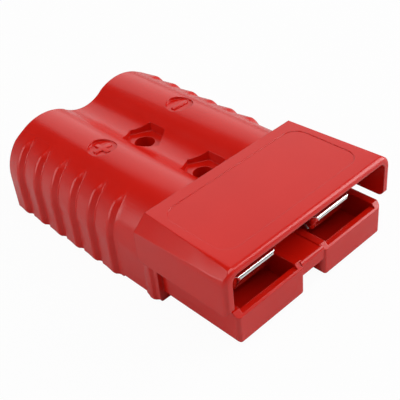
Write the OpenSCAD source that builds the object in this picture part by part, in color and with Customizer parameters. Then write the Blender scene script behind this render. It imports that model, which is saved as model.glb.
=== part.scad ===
// Two-pole genderless power connector, one half: housing, two crimp contacts, two leaf springs.
// Its mate is the same part given half a turn about a crosswise axis at half its height.
// Millimetres. +Z up, -Y is the mating face, +Y the cable end, origin at the bottom centre.

/* [Housing] */
// Length from the mating face to the cable end
body_l = 80.6; // [76:0.2:100]
// Height over everything, twice the height of the interface plane
body_h = 22.6; // [22.4:0.1:24]
// Width over the hood's side walls
hood_w = 54.6; // [54:0.1:60]
// Length of the hood from its front rim to its rear step
hood_l = 27.4; // [26.6:0.1:28]
// Depth of the hood's cavity, which takes the mate's two blocks
hood_depth = 24; // [23.5:0.1:24.5]
// Thickness of the hood's roof
roof_t = 1.5; // [1.3:0.1:1.8]
// Thickness of the hood's side walls
skirt_t = 2.2; // [1.8:0.1:2.4]
// Rounding along the hood's long top edges
hood_edge_r = 3.4; // [2.6:0.1:4]
// Rounding of the hood's front rim
rim_r = 1.2; // [0.5:0.1:1.3]
// Rounding of the skirt's lower front corner, seen from the side
skirt_corner_r = 1.6; // [1:0.1:3]
// Direction that the flats along the hood's top edges face, in degrees over the horizontal
flat_angle = 50; // [45:1:54]
// Depth of each flat in the rounded edge at the front rim
flat_front = 0.1; // [0.05:0.05:0.3]
// Depth of each flat in the rounded edge at the hood's rear
flat_rear = 1; // [0.4:0.1:1]
// How far the lower half's shoulder stays inside of the hood's sides
shoulder_in = 1; // [0.8:0.1:1.2]
// Width of the shallow sunk panel on the hood's roof
panel_w = 44; // [36:0.5:46]
// Length of the sunk panel
panel_l = 20; // [14:0.5:21]
// Distance from the mating face to the sunk panel
panel_y = 4.3; // [3.5:0.1:5]
// Rounding of the sunk panel's corners
panel_r = 4; // [2:0.5:6]
// Depth of the sunk panel
panel_depth = 0.12; // [0.1:0.01:0.3]
// Rounding of the housing's bottom edges
foot_r = 0.8; // [0.4:0.1:1.2]

/* [Barrels] */
// Outer radius of each barrel behind the hood
barrel_r = 12.9; // [12.6:0.1:13.1]
// Distance between the two barrel axes
pole_pitch = 25.8; // [25.2:0.1:26]
// Rounding of the valley between the barrels
valley_r = 9.8; // [8:0.1:10.5]
// Diameter of the mouth of each cable bore
cable_bore_d = 16; // [15.6:0.1:16.4]
// Depth of the wide mouth of each cable bore
cable_bore_l = 7; // [5:0.5:9]
// Diameter of the chamber that holds the crimp barrel
chamber_d = 15; // [14.8:0.1:15.4]
// Depth of the chamber from the cable end
chamber_l = 34; // [32:0.5:36]
// Chamfer round the mouth of each cable bore
bore_chamfer = 0.6; // [0.3:0.1:0.8]

/* [Grip ribs] */
// Number of grip ribs on each side
rib_count = 6; // [3:1:6]
// Distance from one rib to the next
rib_pitch = 7.3; // [6:0.1:7.4]
// Height of a rib over the wall
rib_h = 1.1; // [0.5:0.1:1.2]
// Distance from a rib's front notch back to its crest
rib_fall = 2.5; // [1.8:0.1:2.8]
// How far up the barrel a rib runs before it fades out, in degrees over the horizontal
rib_fade = 60; // [50:1:64]
// Tilt of the plane that ends the ribs at the top, in degrees
rib_end_tilt = 24; // [16:1:30]

/* [Contact blocks] */
// Length of the two blocks in front of the shoulder that stops the mate's hood
block_l = 23.4; // [22.8:0.1:23.4]
// Gap between the two blocks
block_gap = 6.4; // [5.6:0.1:7]
// Play between a block and the mate's hood, at the side
side_play = 0.5; // [0.3:0.1:0.6]
// Play between a block and the mate's hood, underneath
floor_play = 0.3; // [0.2:0.1:0.5]
// Thickness of the blocks' side walls
block_wall = 2; // [1.6:0.1:2.4]
// Thickness of the blocks' floors
block_floor = 2; // [1.5:0.1:2.2]
// Height of the front lip of each block over the bottom plane
lip_h = 9.2; // [8.6:0.1:9.6]
// Thickness of the front lip
lip_t = 1.8; // [1.2:0.1:2.2]
// Length of the slanted face at the front end of the blocks' side walls
wall_face_l = 1.7; // [1:0.1:2]
// How far that face starts under the top of the lip
wall_face_drop = 0.4; // [0.2:0.1:0.8]
// Distance from the mating face to the full height of the side walls
wall_ramp_l = 9; // [6:0.5:12]
// Rounding of the blocks' upright outer corners
block_r = 1.2; // [0.6:0.1:1.6]
// Width of the bar that joins the two blocks
bar_w = 7.6; // [7.2:0.1:8]
// Height of the top of the bar over the bottom plane
bar_top = 10; // [9.6:0.1:10.4]
// Thickness of the bar
bar_t = 3.6; // [3:0.1:5]
// Rounding of the bar's top front edge
bar_r = 0.9; // [0.4:0.1:1.2]
// Distance from the mating face back to the bar
bar_y = 0.3; // [0.1:0.1:0.8]

/* [Mounting] */
// Distance between the two mounting holes
hole_pitch = 21.5; // [20:0.1:22]
// Distance from the cable end to the nearer mounting hole
hole_from_end = 25.2; // [24:0.1:26]
// Diameter of each mounting hole
hole_d = 5.2; // [4.5:0.1:5.5]
// Width across flats of each nut pocket
nut_w = 9.6; // [8:0.1:10]
// Height of the nut pockets' floor over the barrel axes
nut_floor = 7.4; // [6:0.1:8]

/* [Polarity marks] */
// Diameter of each round recess
mark_d = 7.2; // [6:0.1:8]
// Depth of each recess under the barrel's crest
mark_depth = 0.8; // [0.6:0.05:0.9]

/* [Contacts] */
// Width of a contact blade
blade_w = 12.8; // [11:0.1:12.8]
// Thickness of a contact blade
blade_t = 3; // [2.4:0.1:3.2]
// Height of the blade's top face over the barrel axis
blade_rise = 3.9; // [3.4:0.1:4]
// Distance from the mating face to the blade's nose
nose_y = 4.9; // [4:0.1:6]
// Rounding of the blade's nose
nose_r = 0.9; // [0.6:0.1:1.2]
// How far the front face of the nose leans back
nose_lean = 1; // [0.4:0.1:1.2]
// Thickness of the nose's hook
hook_t = 1.6; // [1.2:0.1:1.8]
// How far the nose's hook reaches under the blade
hook_drop = 0.5; // [0.3:0.1:0.8]
// Rounding of the blade's front corners, seen from above
blade_r = 1.8; // [1:0.1:2.4]
// Outer diameter of the crimp barrel
crimp_d = 14.2; // [13:0.1:14.6]
// Inner diameter of the crimp barrel
crimp_bore_d = 11; // [9:0.1:11.4]
// Length of the crimp barrel
crimp_l = 27; // [24:0.5:30]
// Depth of the crimp bore
crimp_bore_l = 22; // [18:0.5:22.5]
// Play round a blade in its passage
blade_play = 0.3; // [0.2:0.05:0.4]

/* [Springs] */
// Width of a leaf spring
spring_w = 11; // [9:0.1:11.4]
// Thickness of a leaf spring
spring_t = 0.8; // [0.6:0.05:1]
// Length of the spring's flat foot
foot_l = 9; // [7:0.5:10]
// Distance from the mating face to the middle of the spring's crest
crest_y = 11; // [10.5:0.5:13]
// Length of the flat crest under the blade
crest_l = 2; // [1.5:0.1:3]
// How far the spring's nose bends down in front of the crest
nose_drop = 1.6; // [1:0.1:1.8]

/* [Hidden] */
$fn = 96;
// How far a cut runs past the face it opens
past = 1;
side = [-1, 1];
pole_x = pole_pitch / 2;
axis_z = body_h - barrel_r;
mid_z = body_h / 2;
wall_x = pole_x + barrel_r;
// The valley's rounding dips a little into both barrels, so the arcs cross instead of touching
valley_dip = 0.1;
valley_z = axis_z + sqrt(pow(barrel_r + valley_r, 2) - pow(pole_x, 2)) - valley_dip;
block_x = hood_w / 2 - skirt_t - side_play;
block_z = roof_t + floor_play;
trough_z = block_z + block_floor;
trough_x0 = block_gap / 2 + block_wall;
trough_x1 = block_x - block_wall;
// The blocks' side walls stop just under the interface plane
rail_play = 0.2;
rail_z = mid_z - rail_play;
skirt_z = mid_z + 0.1;
bulkhead_y = body_l - chamber_l;
blade_top = axis_z + blade_rise;
blade_bottom = blade_top - blade_t;
// The trough runs under the bulkhead as far as the spring's foot
spring_end = 36;
// How far the ribs' notches lie inside of the wall that the ribs stand on
rib_sunk = 0.15;
// Where a rib's end plane meets the barrel, and how far the plane reaches past that
fade_x = pole_x + barrel_r * cos(rib_fade);
fade_z = axis_z + barrel_r * sin(rib_fade);
fade_reach = wall_x + 2 * rib_h - fade_x;
// Length of the shoulder along the wall, and of its slanted front face
shoulder_l = 4.9;
shoulder_lead = 1.5;
shoulder_round = 0.3;

// Puts a sub-part drawn with its mating face at y = 0 into the part's frame
module placed() {
    translate([0, -body_l / 2, 0]) children();
}

// Extrudes an outline drawn in X and Z along Y, from y0 to y1
module along_y(y0, y1) {
    translate([0, y1, 0]) rotate([90, 0, 0]) linear_extrude(y1 - y0) children();
}

// Extrudes an outline drawn in Y and Z along X, centred on x
module along_x(x, w) {
    translate([x - w / 2, 0, 0]) rotate([90, 0, 90]) linear_extrude(w) children();
}

// A block between two corners
module box(x0, x1, y0, y1, z0, z1) {
    translate([x0, y0, z0]) cube([x1 - x0, y1 - y0, z1 - z0]);
}

// Rectangle with round corners, from (x0, y0) to (x1, y1)
module round_rect(x0, x1, y0, y1, r) {
    translate([x0 + r, y0]) square([x1 - x0 - 2 * r, y1 - y0]);
    translate([x0, y0 + r]) square([x1 - x0, y1 - y0 - 2 * r]);
    for (x = [x0 + r, x1 - r], y = [y0 + r, y1 - r])
        translate([x, y]) circle(r);
}

// Section of the rear body: two barrels, straight lower walls and the rounded valley
module rear_section() {
    difference() {
        union() {
            for (s = side)
                translate([s * pole_x, axis_z]) circle(barrel_r);
            translate([-wall_x, foot_r]) square([2 * wall_x, axis_z - foot_r]);
            translate([-wall_x + foot_r, 0]) square([2 * (wall_x - foot_r), axis_z]);
            for (s = side)
                translate([s * (wall_x - foot_r), foot_r]) circle(foot_r);
            polygon([[-pole_x, axis_z], [pole_x, axis_z], [0, valley_z]]);
        }
        translate([0, valley_z]) circle(valley_r);
        translate([-wall_x, -body_h]) square([2 * wall_x, body_h]);
    }
}

// Plan outline of one grip rib, from its front notch at y: a steep start that rounds over to
// the crest, then a long back, which turns down to the next notch
function rib_points(x, y) = [
    [x - rib_sunk, y], [x + rib_h * 0.52, y + rib_fall * 0.3],
    [x + rib_h * 0.84, y + rib_fall * 0.62], [x + rib_h * 0.98, y + rib_fall * 0.92],
    [x + rib_h, y + rib_fall * 1.05], [x + rib_h * 0.94, y + rib_fall * 1.25],
    [x + rib_h * 0.6, y + rib_pitch * 0.64], [x - rib_sunk, y + rib_pitch * 0.94]
];

// Plan outline of the whole row of ribs, whose crests stand rib_h outside of x = face
module rib_row(root, face) {
    first = body_l - rib_count * rib_pitch;
    polygon(concat(
        [[root, body_l], [root, first]],
        [for (k = [0 : rib_count - 1], p = rib_points(face, first + k * rib_pitch)) p]
    ));
}

// One side's grip ribs: upright up to the barrel's axis, then round the barrel to their end plane
module grip(s) {
    root = barrel_r - 2;
    intersection() {
        linear_extrude(axis_z) mirror([s < 0 ? 1 : 0, 0]) rib_row(pole_x + root, wall_x);
        along_y(0, body_l + past)
            round_rect(-wall_x - rib_h, wall_x + rib_h, 0, body_h, foot_r);
    }
    mirror([s > 0 ? 1 : 0, 0, 0]) intersection() {
        translate([-pole_x, 0, axis_z]) rotate([-90, 0, 0]) rotate([0, 0, 180])
            rotate_extrude(angle = rib_fade) rib_row(root, barrel_r);
        along_y(0, body_l + past) mirror([1, 0]) polygon([
            [pole_x, axis_z - past], [pole_x, fade_z + past], [fade_x, fade_z + past],
            [fade_x, fade_z], [fade_x + fade_reach, fade_z - fade_reach * tan(rib_end_tilt)],
            [fade_x + fade_reach, axis_z - past]
        ]);
    }
}

// The lower half's shoulder, which stops the mate's hood: a slanted front face, a flat, a way back
module shoulder() {
    x = hood_w / 2 - shoulder_in;
    back = block_l + shoulder_l;
    linear_extrude(skirt_z + past) for (s = side) mirror([s < 0 ? 1 : 0, 0]) polygon([
        [pole_x, block_l], [block_x, block_l], [x - shoulder_round, block_l + shoulder_lead],
        [x, block_l + shoulder_lead + 2 * shoulder_round], [x, back - 6 * shoulder_round],
        [x - shoulder_round, back - 3 * shoulder_round], [wall_x, back], [pole_x, back]
    ]);
}

// The tool for one flat along the hood's top edge, which bites deeper towards the rear
module edge_flat(s) {
    translate([s * (hood_w / 2 - hood_edge_r), 0, body_h - hood_edge_r])
        rotate([0, s * (90 - flat_angle), 0]) translate([0, 0, hood_edge_r - flat_front])
            rotate([-atan((flat_rear - flat_front) / hood_l), 0, 0])
                translate([-body_h, -past, 0]) cube([2 * body_h, hood_l + 3 * past, body_h]);
}

// Outer form of the hood: its section, its side view and its plan, each with its own rounding
module hood_outer() {
    half = hood_w / 2;
    intersection() {
        along_y(0, hood_l) {
            translate([-half, skirt_z]) square([hood_w, body_h - hood_edge_r - skirt_z]);
            translate([-half + hood_edge_r, skirt_z])
                square([hood_w - 2 * hood_edge_r, body_h - skirt_z]);
            for (s = side)
                translate([s * (half - hood_edge_r), body_h - hood_edge_r]) circle(hood_edge_r);
        }
        along_x(0, hood_w + 2 * past) {
            translate([rim_r, skirt_z + skirt_corner_r])
                square([hood_l, body_h - skirt_z - skirt_corner_r]);
            translate([0, skirt_z + skirt_corner_r])
                square([hood_l, body_h - rim_r - skirt_z - skirt_corner_r]);
            translate([skirt_corner_r, skirt_z]) square([hood_l, skirt_corner_r + past]);
            translate([rim_r, body_h - rim_r]) circle(rim_r);
            translate([skirt_corner_r, skirt_z + skirt_corner_r]) circle(skirt_corner_r);
        }
        linear_extrude(body_h + past) {
            translate([-half, rim_r]) square([hood_w, hood_l]);
            translate([-half + rim_r, 0]) square([hood_w - 2 * rim_r, hood_l]);
            for (s = side)
                translate([s * (half - rim_r), rim_r]) circle(rim_r);
        }
    }
}

// Hollow of the hood, open to the front and, under the skirts, to the sides
module hood_cavity() {
    inner = hood_w / 2 - skirt_t;
    r = hood_edge_r - roof_t;
    along_y(-past, hood_depth) {
        translate([-inner, rail_z - past]) square([2 * inner, body_h - roof_t - r - rail_z + past]);
        translate([-inner + r, rail_z]) square([2 * (inner - r), body_h - roof_t - rail_z]);
        for (s = side)
            translate([s * (inner - r), body_h - roof_t - r]) circle(r);
    }
}

// The two blocks in front of the shoulder, rounded at the front and along the bottom
module blocks() {
    for (s = side) intersection() {
        linear_extrude(rail_z) mirror([s < 0 ? 1 : 0, 0])
            round_rect(block_gap / 2, block_x, 0, block_l + 2 * block_r, block_r);
        along_y(0, block_l + block_r) mirror([s < 0 ? 1 : 0, 0])
            round_rect(block_gap / 2, block_x, block_z, rail_z + 2 * block_r, block_r);
    }
}

// Side view of the side walls' top: a slanted face at the front end, then a ramp to full height
module block_top_cut() {
    face_z = lip_h - wall_face_drop;
    along_x(0, hood_w) polygon([
        [-past, face_z - past], [wall_face_l, face_z + wall_face_l], [wall_ramp_l, rail_z],
        [wall_ramp_l, rail_z + past], [-past, rail_z + past]
    ]);
}

// The bar that joins the two blocks, with its top front edge rounded
module bar() {
    l = hood_depth + past - bar_y;
    along_x(0, bar_w) {
        translate([bar_y, bar_top - bar_t]) square([l, bar_t - bar_r]);
        translate([bar_y + bar_r, bar_top - bar_t]) square([l - bar_r, bar_t]);
        translate([bar_y + bar_r, bar_top - bar_r]) circle(bar_r);
    }
}

// Hollow of one trough, from the lip back to the end of the spring's foot
module trough(s) {
    x0 = s > 0 ? trough_x0 : -trough_x1;
    half = blade_w / 2 + blade_play;
    along_x(x0 + (trough_x1 - trough_x0) / 2, trough_x1 - trough_x0) polygon([
        [lip_t, trough_z], [hood_depth, trough_z], [hood_depth, rail_z + past],
        [-past, rail_z + past], [-past, lip_h], [lip_t, lip_h]
    ]);
    box(s * pole_x - half, s * pole_x + half, hood_depth - past, spring_end,
        trough_z, blade_top + blade_play);
}

// Passage of one contact: slot for the blade, chamber for the crimp barrel, mouth for the cable
module contact_way(s) {
    half = blade_w / 2 + blade_play;
    box(s * pole_x - half, s * pole_x + half, hood_depth - past, bulkhead_y + past,
        blade_bottom - blade_play, blade_top + blade_play);
    translate([s * pole_x, bulkhead_y, axis_z]) rotate([-90, 0, 0]) {
        cylinder(d = chamber_d, h = chamber_l + past);
        translate([0, 0, chamber_l - cable_bore_l])
            cylinder(d = cable_bore_d, h = cable_bore_l + past);
        translate([0, 0, chamber_l - bore_chamfer])
            cylinder(d1 = cable_bore_d, d2 = cable_bore_d + 2 * (bore_chamfer + past),
                h = bore_chamfer + past);
    }
}

// One mounting hole with its nut pocket
module mount_hole(y) {
    translate([0, y, -past]) cylinder(d = hole_d, h = body_h + 2 * past);
    translate([0, y, axis_z + nut_floor]) rotate([0, 0, 30])
        cylinder(d = nut_w / cos(30), h = body_h, $fn = 6);
}

// The moulded housing in one piece
module housing() {
    first_hole = body_l - hole_from_end;
    color("crimson") placed() difference() {
        union() {
            difference() {
                union() {
                    along_y(block_l, body_l) rear_section();
                    for (s = side) grip(s);
                    shoulder();
                    difference() {
                        hood_outer();
                        for (s = side) edge_flat(s);
                    }
                    blocks();
                }
                hood_cavity();
                block_top_cut();
                for (s = side) trough(s);
                box(-block_gap / 2, block_gap / 2, -past, block_l, -past, skirt_z);
            }
            bar();
        }
        for (s = side) contact_way(s);
        translate([0, 0, body_h - panel_depth]) linear_extrude(panel_depth + past)
            round_rect(-panel_w / 2, panel_w / 2, panel_y, panel_y + panel_l, panel_r);
        for (y = [first_hole, first_hole - hole_pitch]) mount_hole(y);
        for (s = side)
            translate([s * pole_x, first_hole, body_h - mark_depth])
                cylinder(d = mark_d, h = mark_depth + past);
    }
}

// Side view of the blade: a round nose, its hook over the spring's end and the flat blade
module blade_side() {
    nose_z = blade_top - nose_r;
    hook_z = blade_bottom - hook_drop;
    hook_y = nose_y + nose_lean;
    translate([nose_y + nose_r, blade_bottom])
        square([bulkhead_y + past - nose_y - nose_r, blade_t]);
    translate([nose_y + nose_r, nose_z]) circle(nose_r);
    polygon([
        [nose_y, nose_z], [hook_y, hook_z], [hook_y + hook_t, hook_z],
        [hook_y + hook_t, nose_z]
    ]);
}

// One crimp contact: crimp barrel and flat blade, its front corners rounded
module contact(s) {
    color("silver") placed() translate([s * pole_x, 0, 0]) {
        intersection() {
            along_x(0, blade_w) blade_side();
            linear_extrude(body_h)
                round_rect(-blade_w / 2, blade_w / 2, nose_y, bulkhead_y + blade_w, blade_r);
        }
        translate([0, bulkhead_y, axis_z]) rotate([-90, 0, 0]) difference() {
            cylinder(d = crimp_d, h = crimp_l);
            translate([0, 0, crimp_l - crimp_bore_l])
                cylinder(d = crimp_bore_d, h = crimp_bore_l + past);
        }
    }
}

// One leaf spring: foot on the trough's floor, arm up to a flat crest under the blade, bent nose
module leaf_spring(s) {
    foot_front = spring_end - foot_l;
    crest_back = crest_y + crest_l / 2;
    crest_front = crest_y - crest_l / 2;
    color("lightgray") placed() along_x(s * pole_x, spring_w) polygon([
        [spring_end, trough_z], [foot_front, trough_z],
        [crest_back, blade_bottom - spring_t], [crest_front, blade_bottom - spring_t],
        [crest_front - nose_drop, blade_bottom - spring_t - nose_drop],
        [crest_front - nose_drop - spring_t * 0.5, blade_bottom - nose_drop - spring_t * 0.5],
        [crest_front, blade_bottom], [crest_back, blade_bottom],
        [foot_front, trough_z + spring_t], [spring_end, trough_z + spring_t]
    ]);
}

module contact_left() { contact(-1); }
module contact_right() { contact(1); }
module leaf_spring_left() { leaf_spring(-1); }
module leaf_spring_right() { leaf_spring(1); }

housing();
contact_left();
contact_right();
leaf_spring_left();
leaf_spring_right();
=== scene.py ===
"""Two-pole genderless power connector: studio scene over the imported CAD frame."""
import math

import bpy
import bmesh
from mathutils import Matrix, Vector


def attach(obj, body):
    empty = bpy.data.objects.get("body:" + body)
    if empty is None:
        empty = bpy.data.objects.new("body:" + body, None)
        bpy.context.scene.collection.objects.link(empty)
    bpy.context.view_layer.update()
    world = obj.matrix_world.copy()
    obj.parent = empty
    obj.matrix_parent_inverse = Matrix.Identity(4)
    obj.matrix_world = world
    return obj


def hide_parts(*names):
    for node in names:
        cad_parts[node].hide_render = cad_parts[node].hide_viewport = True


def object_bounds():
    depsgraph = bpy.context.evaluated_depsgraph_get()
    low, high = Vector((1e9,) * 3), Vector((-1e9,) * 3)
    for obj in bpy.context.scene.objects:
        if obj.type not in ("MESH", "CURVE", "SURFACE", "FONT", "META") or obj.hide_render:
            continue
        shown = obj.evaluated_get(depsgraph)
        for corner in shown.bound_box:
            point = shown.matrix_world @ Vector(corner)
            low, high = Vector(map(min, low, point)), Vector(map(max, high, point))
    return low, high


MM = 0.001

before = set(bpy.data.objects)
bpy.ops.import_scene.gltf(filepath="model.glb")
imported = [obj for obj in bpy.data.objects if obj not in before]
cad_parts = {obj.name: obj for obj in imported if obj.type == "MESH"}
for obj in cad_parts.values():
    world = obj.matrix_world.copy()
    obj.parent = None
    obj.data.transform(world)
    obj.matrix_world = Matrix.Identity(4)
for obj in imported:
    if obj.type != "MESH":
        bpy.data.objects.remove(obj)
cad_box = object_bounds()


# ---------------------------------------------------------------- node helpers

def new_material(name):
    """A new material with its Principled shader, ready for nodes."""
    material = bpy.data.materials.new(name)
    material.use_nodes = True
    tree = material.node_tree
    shader = tree.nodes["Principled BSDF"]
    return material, tree, shader


def add_node(tree, kind, inputs=None, **settings):
    """Adds a node and sets its properties and the inputs that nothing is linked to."""
    node = tree.nodes.new(kind)
    for key, value in settings.items():
        setattr(node, key, value)
    for key, value in (inputs or {}).items():
        node.inputs[key].default_value = value
    return node


def ramp(tree, source, stops):
    """A colour ramp over a value: stops are (position, colour) pairs."""
    node = tree.nodes.new("ShaderNodeValToRGB")
    elements = node.color_ramp.elements
    while len(elements) < len(stops):
        elements.new(0.5)
    for element, (position, colour) in zip(elements, stops):
        element.position = position
        element.color = (*colour, 1.0)
    tree.links.new(source, node.inputs["Fac"])
    return node.outputs["Color"]


def object_noise(tree, scale, detail):
    """Noise in object coordinates; scale is in cells per metre."""
    place = add_node(tree, "ShaderNodeTexCoord")
    noise = add_node(tree, "ShaderNodeTexNoise", {"Scale": scale, "Detail": detail})
    tree.links.new(place.outputs["Object"], noise.inputs["Vector"])
    return noise.outputs["Fac"]


def bumped_normal(tree, shader, height, distance, strength, edge_radius):
    """Feeds a fine bump over softly rounded edges into the shader's normal."""
    edge = add_node(tree, "ShaderNodeBevel", {"Radius": edge_radius}, samples=6)
    bump = add_node(tree, "ShaderNodeBump", {"Distance": distance, "Strength": strength})
    tree.links.new(height, bump.inputs["Height"])
    tree.links.new(edge.outputs["Normal"], bump.inputs["Normal"])
    tree.links.new(bump.outputs["Normal"], shader.inputs["Normal"])


# ------------------------------------------------------------------- materials

# Stops are (noise value, linear colour or roughness); lengths are in metres
RED_COLOURS = [(0.3, (0.61, 0.0070, 0.0020)), (0.7, (0.65, 0.0085, 0.0026))]
RED_ROUGHNESS = [(0.3, (0.21,) * 3), (0.7, (0.26,) * 3)]
RED_IOR = 1.55
SILVER_COLOURS = [(0.35, (0.84, 0.84, 0.83)), (0.65, (0.93, 0.93, 0.93))]
SILVER_ROUGHNESS = [(0.3, (0.12,) * 3), (0.7, (0.18,) * 3)]
STEEL_COLOURS = [(0.3, (0.42, 0.42, 0.43)), (0.7, (0.56, 0.56, 0.57))]
STEEL_ROUGHNESS = 0.3
STEEL_GRAIN_SCALE = (6000.0, 250.0, 250.0)

WELD_DISTANCE = 0.000002
HARD_EDGE_DEGREES = 24


def red_plastic():
    """Moulded red polycarbonate: glossy, with slight flow marks and a very fine surface grain."""
    material, tree, shader = new_material("red_plastic")
    flow = object_noise(tree, scale=55.0, detail=3.0)
    tree.links.new(ramp(tree, flow, RED_COLOURS), shader.inputs["Base Color"])
    gloss = object_noise(tree, scale=160.0, detail=3.0)
    tree.links.new(ramp(tree, gloss, RED_ROUGHNESS), shader.inputs["Roughness"])
    shader.inputs["IOR"].default_value = RED_IOR
    grain = object_noise(tree, scale=1500.0, detail=1.0)
    bumped_normal(tree, shader, grain, distance=0.00001, strength=0.12, edge_radius=0.00025)
    return material


def silver_plate():
    """Silver-plated copper: bright and smooth, with a little tarnish."""
    material, tree, shader = new_material("silver_plate")
    tarnish = object_noise(tree, scale=240.0, detail=2.0)
    tree.links.new(ramp(tree, tarnish, SILVER_COLOURS), shader.inputs["Base Color"])
    gloss = object_noise(tree, scale=400.0, detail=2.0)
    tree.links.new(ramp(tree, gloss, SILVER_ROUGHNESS), shader.inputs["Roughness"])
    shader.inputs["Metallic"].default_value = 1.0
    grain = object_noise(tree, scale=900.0, detail=1.0)
    bumped_normal(tree, shader, grain, distance=0.000005, strength=0.1, edge_radius=0.0002)
    return material


def spring_steel():
    """Stainless spring strip: brushed across its width."""
    material, tree, shader = new_material("spring_steel")
    place = add_node(tree, "ShaderNodeTexCoord")
    stretch = add_node(tree, "ShaderNodeMapping", {"Scale": STEEL_GRAIN_SCALE})
    grain = add_node(tree, "ShaderNodeTexNoise", {"Scale": 1.0, "Detail": 3.0})
    tree.links.new(place.outputs["Object"], stretch.inputs["Vector"])
    tree.links.new(stretch.outputs["Vector"], grain.inputs["Vector"])
    height = grain.outputs["Fac"]
    tree.links.new(ramp(tree, height, STEEL_COLOURS), shader.inputs["Base Color"])
    shader.inputs["Metallic"].default_value = 1.0
    shader.inputs["Roughness"].default_value = STEEL_ROUGHNESS
    bumped_normal(tree, shader, height, distance=0.00001, strength=0.3, edge_radius=0.0001)
    return material


def finish_surface(piece, material):
    """Gives a piece its material and smooth shading that keeps its hard edges."""
    piece.data.materials.clear()
    piece.data.materials.append(material)
    for polygon in piece.data.polygons:
        polygon.use_smooth = True
    weld = piece.modifiers.new("weld", "WELD")
    weld.merge_threshold = WELD_DISTANCE
    split = piece.modifiers.new("hard_edges", "EDGE_SPLIT")
    split.split_angle = math.radians(HARD_EDGE_DEGREES)
    shading = piece.modifiers.new("flat_faces_flat", "WEIGHTED_NORMAL")
    shading.keep_sharp = True


RED = red_plastic()
SILVER = silver_plate()
STEEL = spring_steel()
for pole in ("left", "right"):
    finish_surface(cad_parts["contact_" + pole], SILVER)
    finish_surface(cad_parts["leaf_spring_" + pole], STEEL)


# --------------------------------------------------------------------- housing

FRONT_Y = cad_box[0][1]
REAR_Y = cad_box[1][1]
TOP_Z = cad_box[1][2]
HALF_W = cad_box[1][0]
BARREL_R = 12.9 * MM
POLE_X = 12.9 * MM
AXIS_Z = TOP_Z - BARREL_R
WALL_X = POLE_X + BARREL_R
# The round at the foot of each rib
FOOT_R = 0.8 * MM

RIB_COUNT = 6
RIB_PITCH = 7.3 * MM
RIB_HEIGHT = 1.1 * MM
# The ribs end at this angle up the barrel and fade over the last degrees
RIB_TOP = 60
RIB_FADE = 20
# One rib: distance behind its place and height, both in millimetres
RIB_PROFILE = [(1.0, 0.0), (1.25, 0.1), (1.95, 0.85), (2.3, 1.04), (2.65, 1.1), (3.0, 1.08),
               (7.5, 0.42), (7.9, 0.2)]
RIB_END_HEIGHT = 0.42 * MM
# How deep the old wall is cut back, and how deep the new ribs reach into it
RIB_CUT = 0.03 * MM
RIB_ROOT = 1.0 * MM
# How far in front of the first rib the wall is made new
RIB_LEAD = 0.1 * MM
RIBS_START = REAR_Y - RIB_COUNT * RIB_PITCH

HOOD_EDGE_R = 3.4 * MM
RIM_R = 1.2 * MM
SKIRT_T = 2.2 * MM
SKIRT_Z = 11.4 * MM
SKIRT_CORNER_R = 1.6 * MM
SKIRT_FILL_TOP = 12.3 * MM
# Distances from the front where the skirt's edge has a section, in millimetres
SKIRT_SECTIONS = (0.2, 0.3, 0.45, 0.65, 0.9, 1.2, 1.6, 9.4)

# How far a cutting solid runs past the housing, and how far it stands out from the wall
OVERRUN = 1 * MM
CUT_REACH = 4 * MM


def quarter_turn(steps):
    """Angles from 0 to 90 degrees in equal steps, in radians."""
    return [math.radians(90 * k / steps) for k in range(steps + 1)]


def loft(name, rings):
    """A closed solid through rings of points, each ring with the same number of points."""
    shape = bmesh.new()
    made = [[shape.verts.new(point) for point in ring] for ring in rings]
    count = len(rings[0])
    for near, far in zip(made, made[1:]):
        for k in range(count):
            shape.faces.new((near[k], near[(k + 1) % count], far[(k + 1) % count], far[k]))
    shape.faces.new(made[0])
    shape.faces.new(reversed(made[-1]))
    bmesh.ops.triangulate(shape, faces=shape.faces)
    bmesh.ops.recalc_face_normals(shape, faces=shape.faces)
    mesh = bpy.data.meshes.new(name)
    shape.to_mesh(mesh)
    shape.free()
    tool = bpy.data.objects.new(name, mesh)
    bpy.context.collection.objects.link(tool)
    return tool


def round_barrel(side, radius, degrees):
    """A point's x and z on a circle round one barrel's axis; 0 degrees is level, outwards."""
    a = math.radians(degrees)
    return side * (POLE_X + radius * math.cos(a)), AXIS_Z + radius * math.sin(a)


def rib_zone(side):
    """The space outside of one side's wall, from the first rib to past the cable end."""
    inside = [(side * (WALL_X - RIB_CUT), -OVERRUN)]
    inside += [round_barrel(side, BARREL_R - RIB_CUT, degrees)
               for degrees in range(0, RIB_TOP + 1, 4)]
    far_x = side * (WALL_X + CUT_REACH)
    outside = [round_barrel(side, BARREL_R + CUT_REACH, RIB_TOP),
               (far_x, AXIS_Z + BARREL_R), (far_x, -OVERRUN)]
    ends = (RIBS_START - RIB_LEAD, REAR_Y + OVERRUN)
    return loft("rib_zone", [[(x, y, z) for x, z in inside + outside] for y in ends])


def rib_sections(side):
    """Where the ribs run, from the foot up the wall and round the barrel.

    Each section is (x, z, outward x, outward z, height limit, share of the full height).
    """
    sections = []
    for a in quarter_turn(5):
        z = FOOT_R * (1 - math.cos(a))
        limit = RIB_HEIGHT - FOOT_R + math.sqrt(max(FOOT_R ** 2 - (FOOT_R - z) ** 2, 0))
        sections.append((side * WALL_X, z, side, 0, limit, 1))
    sections += [(side * WALL_X, z, side, 0, RIB_HEIGHT, 1) for z in (AXIS_Z / 3, AXIS_Z * 2 / 3)]
    for degrees in range(0, RIB_TOP + 1, 3):
        x, z = round_barrel(side, BARREL_R, degrees)
        a = math.radians(degrees)
        share = min(1.0, (RIB_TOP - degrees) / RIB_FADE)
        share = share * share * (3 - 2 * share)
        sections.append((x, z, side * math.cos(a), math.sin(a), RIB_HEIGHT, share))
    return sections


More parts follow.
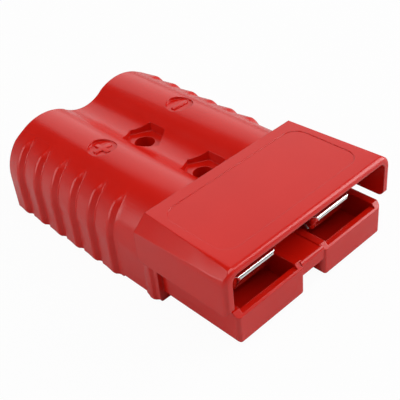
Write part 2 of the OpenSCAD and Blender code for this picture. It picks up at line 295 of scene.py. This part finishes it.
def grip_ribs(side):
    """One side's row of ribs as one solid, rooted inside of the wall."""
    columns = [(RIBS_START + k * RIB_PITCH + t * MM, h * MM)
               for k in range(RIB_COUNT) for t, h in RIB_PROFILE]
    columns = [(y, height) for y, height in columns if y < REAR_Y]
    columns = [(RIBS_START - RIB_LEAD, 0.0)] + columns + [(REAR_Y, RIB_END_HEIGHT)]
    rings = []
    for x, z, out_x, out_z, limit, share in rib_sections(side):
        ring = []
        for y, height in columns:
            h = min(height * share, limit)
            ring.append((x + out_x * h, y, z + out_z * h))
        ring.append((x - out_x * RIB_ROOT, REAR_Y, z - out_z * RIB_ROOT))
        ring.append((x - out_x * RIB_ROOT, columns[0][0], z - out_z * RIB_ROOT))
        rings.append(ring)
    return loft("grip_ribs", rings)


def corner_waste(side):
    """What stands outside of the rounded rim at one of the hood's front corners."""
    near_r, far_r = HOOD_EDGE_R - RIM_R, 2 * HOOD_EDGE_R
    outline = [(near_r, FRONT_Y - OVERRUN)]
    outline += [(near_r + RIM_R * math.sin(a), FRONT_Y + RIM_R * (1 - math.cos(a)))
                for a in quarter_turn(6)]
    outline += [(far_r, FRONT_Y + RIM_R), (far_r, FRONT_Y - OVERRUN)]
    centre_x, centre_z = HALF_W - HOOD_EDGE_R, TOP_Z - HOOD_EDGE_R
    rings = [[(side * (centre_x + r * math.cos(a)), y, centre_z + r * math.sin(a))
              for r, y in outline] for a in quarter_turn(12)]
    return loft("corner_waste", rings)


def skirt_edge(side):
    """The lower edge of one skirt's front end, rounded at its corner."""
    inner = HALF_W - SKIRT_T
    rings = []
    for depth in SKIRT_SECTIONS:
        y = depth * MM
        corner = max(SKIRT_CORNER_R - y, 0)
        bottom = SKIRT_Z + SKIRT_CORNER_R - math.sqrt(SKIRT_CORNER_R ** 2 - corner ** 2)
        outer = HALF_W - RIM_R + math.sqrt(RIM_R ** 2 - max(RIM_R - y, 0) ** 2)
        rings.append([(side * x, FRONT_Y + y, z) for x, z in (
            (inner, bottom), (outer, bottom), (outer, SKIRT_FILL_TOP), (inner, SKIRT_FILL_TOP))])
    return loft("skirt_edge", rings)


def moulded_housing():
    """The housing's own solid with crisper ribs, rounded front corners and whole skirts."""
    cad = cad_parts["housing"]
    mesh = cad.data.copy()
    shape = bmesh.new()
    shape.from_mesh(mesh)
    bmesh.ops.remove_doubles(shape, verts=shape.verts, dist=WELD_DISTANCE)
    shape.to_mesh(mesh)
    shape.free()
    piece = bpy.data.objects.new("moulded_housing", mesh)
    bpy.context.collection.objects.link(piece)
    steps = []
    for side in (-1, 1):
        steps += [(rib_zone(side), "DIFFERENCE"), (corner_waste(side), "DIFFERENCE"),
                  (grip_ribs(side), "UNION"), (skirt_edge(side), "UNION")]
    for tool, operation in steps:
        step = piece.modifiers.new(tool.name, "BOOLEAN")
        step.object = tool
        step.operation = operation
        step.solver = "MANIFOLD"
    bpy.context.view_layer.update()
    graph = bpy.context.evaluated_depsgraph_get()
    piece.data = bpy.data.meshes.new_from_object(piece.evaluated_get(graph))
    piece.modifiers.clear()
    for tool, _ in steps:
        bpy.data.objects.remove(tool)
    finish_surface(piece, RED)
    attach(piece, "root")
    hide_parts("housing")


moulded_housing()


# -------------------------------------------------------------- polarity marks

MARK_BAR = 5.0 * MM
MARK_WIDTH = 1.3 * MM
MARK_HEIGHT = 0.4 * MM
MARK_DEPTH = 0.8 * MM
MARK_SUNK = 0.05 * MM
MARK_EDGE_R = 0.14 * MM
MARK_Y = 15.1 * MM


def raised_sign(name, centre, outline):
    """A raised sign with softened edges, moulded on a recess's floor from its outline."""
    mesh = bpy.data.meshes.new(name)
    shape = bmesh.new()
    floor = [shape.verts.new(Vector(centre) + Vector((x, y, 0))) for x, y in outline]
    face = shape.faces.new(floor)
    grown = bmesh.ops.extrude_face_region(shape, geom=[face])
    top = [part for part in grown["geom"] if isinstance(part, bmesh.types.BMVert)]
    bmesh.ops.translate(shape, verts=top, vec=(0, 0, MARK_HEIGHT))
    bmesh.ops.recalc_face_normals(shape, faces=shape.faces)
    shape.to_mesh(mesh)
    shape.free()
    piece = bpy.data.objects.new(name, mesh)
    bpy.context.collection.objects.link(piece)
    mesh.materials.append(RED)
    soften = piece.modifiers.new("soften", "BEVEL")
    soften.width = MARK_EDGE_R
    soften.segments = 3
    soften.limit_method = "ANGLE"
    for polygon in mesh.polygons:
        polygon.use_smooth = True
    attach(piece, "root")


def polarity_marks():
    """The plus on the left barrel and the minus on the right one."""
    floor_z = TOP_Z - MARK_DEPTH - MARK_SUNK
    a, b = MARK_BAR / 2, MARK_WIDTH / 2
    minus = [(-a, -b), (a, -b), (a, b), (-a, b)]
    plus = [(-a, -b), (-b, -b), (-b, -a), (b, -a), (b, -b), (a, -b),
            (a, b), (b, b), (b, a), (-b, a), (-b, b), (-a, b)]
    raised_sign("mark_plus", (-POLE_X, MARK_Y, floor_z), plus)
    raised_sign("mark_minus", (POLE_X, MARK_Y, floor_z), minus)


polarity_marks()


# ---------------------------------------------------------------------- camera

CAMERA_PLACE = Vector((-102.4, -123.7, 126.35)) * MM
CAMERA_TARGET = Vector((-7.2, -12.43, 16.05)) * MM
CAMERA_ROLL = -0.10894
CAMERA_LENS = 71.53
SENSOR_WIDTH = 36.0
CLIP_START = 0.005


def add_camera():
    """The photograph's camera, turned a little about its line of sight."""
    ahead = (CAMERA_TARGET - CAMERA_PLACE).normalized()
    right = ahead.cross(Vector((0, 0, 1))).normalized()
    up = right.cross(ahead)
    roll_c = math.cos(CAMERA_ROLL)
    roll_s = math.sin(CAMERA_ROLL)
    axis_x = roll_c * right + roll_s * up
    axis_y = -roll_s * right + roll_c * up
    turn = Matrix((axis_x, axis_y, -ahead)).transposed()
    data = bpy.data.cameras.new("camera")
    data.lens = CAMERA_LENS
    data.sensor_width = SENSOR_WIDTH
    data.clip_start = CLIP_START
    camera = bpy.data.objects.new("camera", data)
    camera.matrix_world = Matrix.Translation(CAMERA_PLACE) @ turn.to_4x4()
    bpy.context.collection.objects.link(camera)
    bpy.context.scene.camera = camera


add_camera()


# --------------------------------------------------------------- stage, lights

FLOOR_HALF = 3.0
FLOOR_GAP = 0.00005
FLOOR_GREY = (0.62, 0.62, 0.62, 1.0)
# How much of the floor is plain white to the camera; the rest shows the shadow
FLOOR_WHITE_SHARE = 0.96
WHITE = (1.0, 1.0, 1.0, 1.0)
# The room's brightness by the height of the direction, from the horizon up
SKY = [(0.0, (0.36,) * 3), (0.30, (0.26,) * 3), (0.60, (0.07,) * 3)]

LAMP_DISTANCE = 0.9
LAMP_TARGET = Vector((0, 0, 0.01))
# Name, azimuth, elevation, width, height, radiance
LAMPS = [("key_left", -67, 30, 0.58, 0.80, 2.1),
         ("rim_right", 118, 28, 0.60, 0.72, 4.4),
         ("panel_back_right", 38, 28, 0.74, 0.66, 0.75),
         ("fill_front", 180, 74, 0.70, 0.70, 2.35)]


def add_floor():
    """A wide pale floor that shows as white to the camera and keeps a faint shadow."""
    mesh = bpy.data.meshes.new("floor")
    a = FLOOR_HALF
    mesh.from_pydata([(-a, -a, 0), (a, -a, 0), (a, a, 0), (-a, a, 0)], [], [(0, 1, 2, 3)])
    floor = bpy.data.objects.new("floor", mesh)
    floor.location.z = cad_box[0][2] - FLOOR_GAP
    bpy.context.collection.objects.link(floor)
    material, tree, shader = new_material("floor")
    shader.inputs["Base Color"].default_value = FLOOR_GREY
    shader.inputs["Roughness"].default_value = 0.9
    shader.inputs["Specular IOR Level"].default_value = 0.1
    glow = add_node(tree, "ShaderNodeEmission", {"Color": WHITE, "Strength": 1.0})
    rays = add_node(tree, "ShaderNodeLightPath")
    share = add_node(tree, "ShaderNodeMath", {1: FLOOR_WHITE_SHARE}, operation="MULTIPLY")
    mix = add_node(tree, "ShaderNodeMixShader")
    tree.links.new(rays.outputs["Is Camera Ray"], share.inputs[0])
    tree.links.new(share.outputs[0], mix.inputs[0])
    tree.links.new(shader.outputs[0], mix.inputs[1])
    tree.links.new(glow.outputs[0], mix.inputs[2])
    tree.links.new(mix.outputs[0], tree.nodes["Material Output"].inputs["Surface"])
    mesh.materials.append(material)


def add_lamp(name, azimuth, elevation, width, height, radiance):
    """A soft lamp of a given size and radiance, aimed at the part.

    Angles are in degrees; azimuth runs from +Y towards +X.
    """
    a, e = math.radians(azimuth), math.radians(elevation)
    direction = Vector((math.sin(a) * math.cos(e), math.cos(a) * math.cos(e), math.sin(e)))
    data = bpy.data.lights.new(name, "AREA")
    data.shape = "RECTANGLE"
    data.size = width
    data.size_y = height
    data.energy = radiance * math.pi * width * height
    lamp = bpy.data.objects.new(name, data)
    lamp.location = direction * LAMP_DISTANCE
    aim = LAMP_TARGET - lamp.location
    lamp.rotation_euler = aim.to_track_quat("-Z", "Y").to_euler()
    bpy.context.collection.objects.link(lamp)


def add_world():
    """A dim room with a paler band round the horizon, white to the camera."""
    world = bpy.data.worlds.new("room")
    world.use_nodes = True
    tree = world.node_tree
    back = tree.nodes["Background"]
    place = add_node(tree, "ShaderNodeTexCoord")
    split = add_node(tree, "ShaderNodeSeparateXYZ")
    tree.links.new(place.outputs["Generated"], split.inputs[0])
    sky = ramp(tree, split.outputs["Z"], SKY)
    rays = add_node(tree, "ShaderNodeLightPath")
    mix = add_node(tree, "ShaderNodeMix", data_type="RGBA")
    tree.links.new(rays.outputs["Is Camera Ray"], mix.inputs["Factor"])
    tree.links.new(sky, mix.inputs["A"])
    mix.inputs["B"].default_value = WHITE
    tree.links.new(mix.outputs["Result"], back.inputs["Color"])
    bpy.context.scene.world = world


add_floor()
add_world()
for lamp_settings in LAMPS:
    add_lamp(*lamp_settings)

bpy.context.scene.view_settings.view_transform = "Standard"
